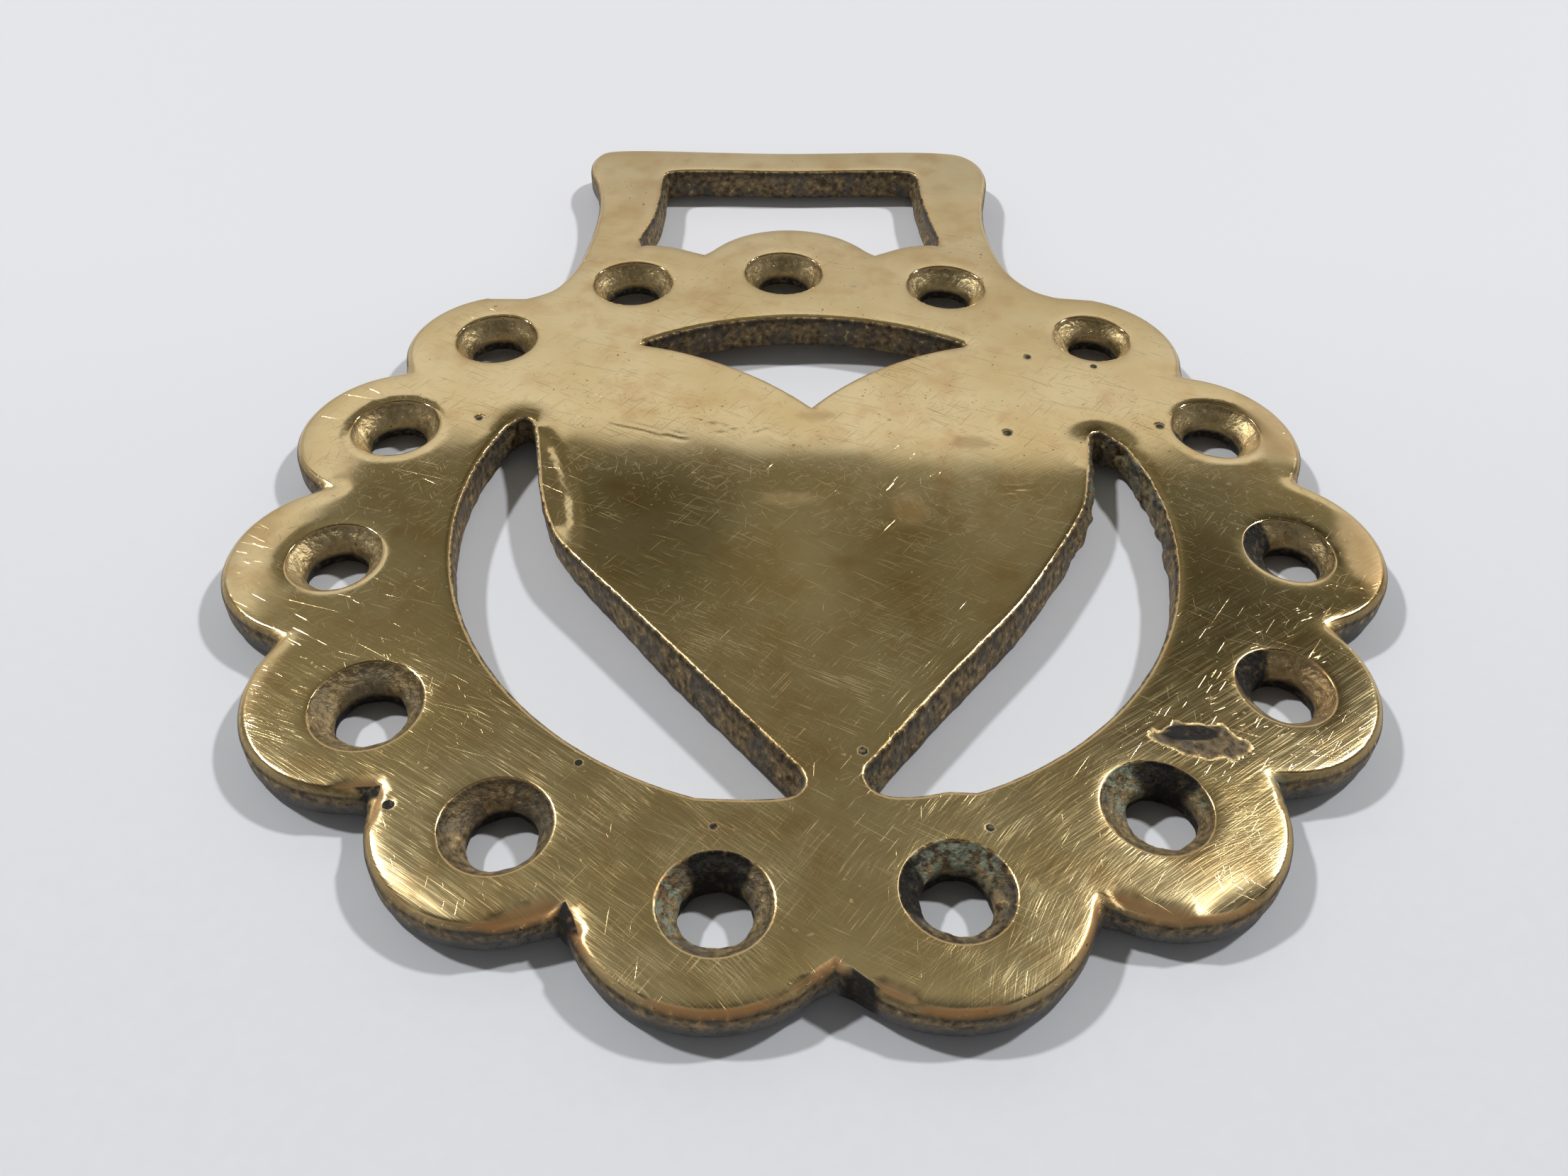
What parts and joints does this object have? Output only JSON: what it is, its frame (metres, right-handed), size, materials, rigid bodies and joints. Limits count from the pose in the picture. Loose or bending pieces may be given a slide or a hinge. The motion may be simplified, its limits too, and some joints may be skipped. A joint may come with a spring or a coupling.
{
  "type": "horse brass",
  "caption": "Cast horse brass: a scalloped ring with a hole in each scallop round a pierced heart, and a strap hanger with a slot at the top.",
  "frame": {"origin": "middle of the brass's outline, at the height of its lowest edge, so it lies on its back on the ground plane", "axes": "+Z out of the decorated face, +Y towards the strap hanger, +X to the right seen from the face"},
  "size_m": [0.0752, 0.088, 0.0033],
  "materials": {
    "cast_brass": "old hand-filed and polished brass with a thin brown-olive patina, dark casting skin in the holes and piercings"
  },
  "bodies": {
    "root": {"horse_brass": "cast_brass"}
  },
  "joints": []
}
